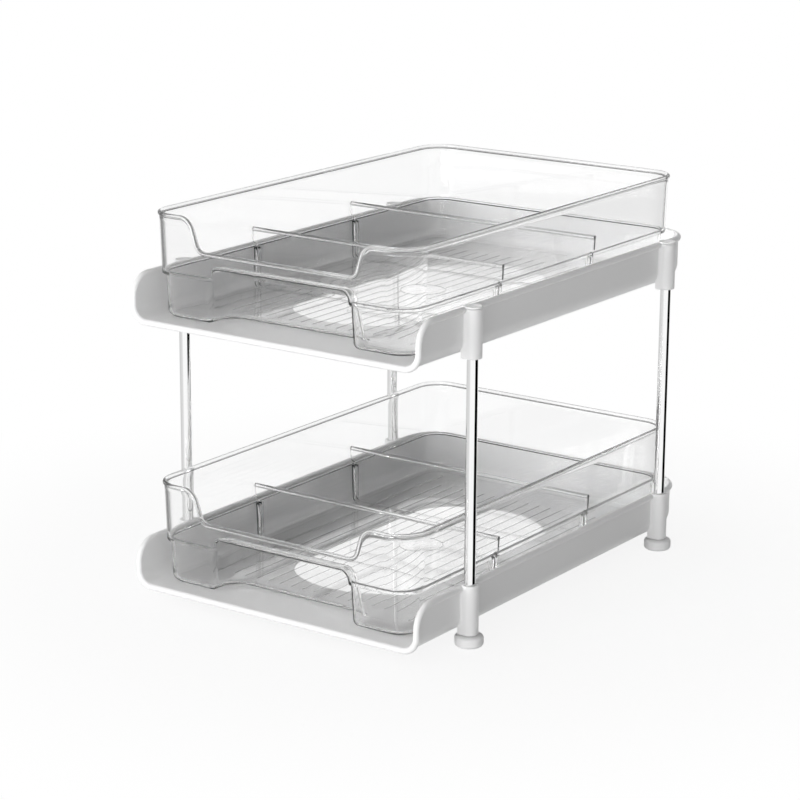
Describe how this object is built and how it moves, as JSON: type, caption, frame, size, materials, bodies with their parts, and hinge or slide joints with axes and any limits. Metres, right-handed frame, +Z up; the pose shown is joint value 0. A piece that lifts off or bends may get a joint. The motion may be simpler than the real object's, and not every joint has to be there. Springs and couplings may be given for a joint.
{
  "type": "pull-out two-tier shelf",
  "caption": "Two-tier organiser: clear pull-out drawers with lift-out dividers ride in open-front white trays carried on slim chrome posts with round feet.",
  "frame": {"origin": "on the floor under the middle of the trays", "axes": "+Z up; the drawers pull out towards -Y; +X is the right side seen from the open front"},
  "size_m": [0.2704, 0.368, 0.2858],
  "materials": {
    "white_plastic": "satin white, moulded",
    "foot_plastic": "matt white, moulded",
    "chrome": "bright plated tube",
    "clear_plastic": "clear, polished"
  },
  "bodies": {
    "frame": {"lower_tray": "white_plastic", "upper_tray": "white_plastic", "post_front_left": "chrome", "post_front_right": "chrome", "post_rear_left": "chrome", "post_rear_right": "chrome", "foot_front_left": "foot_plastic", "foot_front_right": "foot_plastic", "foot_rear_left": "foot_plastic", "foot_rear_right": "foot_plastic", "cap_front_left": "white_plastic", "cap_front_right": "white_plastic", "cap_rear_left": "white_plastic", "cap_rear_right": "white_plastic"},
    "lower_drawer": {"lower_drawer": "clear_plastic"},
    "lower_divider_front": {"lower_divider_front": "clear_plastic"},
    "lower_divider_rear": {"lower_divider_rear": "clear_plastic"},
    "upper_drawer": {"upper_drawer": "clear_plastic"},
    "upper_divider_front": {"upper_divider_front": "clear_plastic"},
    "upper_divider_rear": {"upper_divider_rear": "clear_plastic"}
  },
  "joints": [
    {"name": "lower_drawer_slide", "type": "slide", "parent": "frame", "child": "lower_drawer", "axis": [0, -1, 0], "range_m": [0, 0.24]},
    {"name": "lower_divider_front_lift", "type": "slide", "parent": "lower_drawer", "child": "lower_divider_front", "axis": [0, 0, 1], "range_m": [0, 0.075]},
    {"name": "lower_divider_rear_lift", "type": "slide", "parent": "lower_drawer", "child": "lower_divider_rear", "axis": [0, 0, 1], "range_m": [0, 0.075]},
    {"name": "upper_drawer_slide", "type": "slide", "parent": "frame", "child": "upper_drawer", "axis": [0, -1, 0], "range_m": [0, 0.24]},
    {"name": "upper_divider_front_lift", "type": "slide", "parent": "upper_drawer", "child": "upper_divider_front", "axis": [0, 0, 1], "range_m": [0, 0.075]},
    {"name": "upper_divider_rear_lift", "type": "slide", "parent": "upper_drawer", "child": "upper_divider_rear", "axis": [0, 0, 1], "range_m": [0, 0.075]}
  ]
}
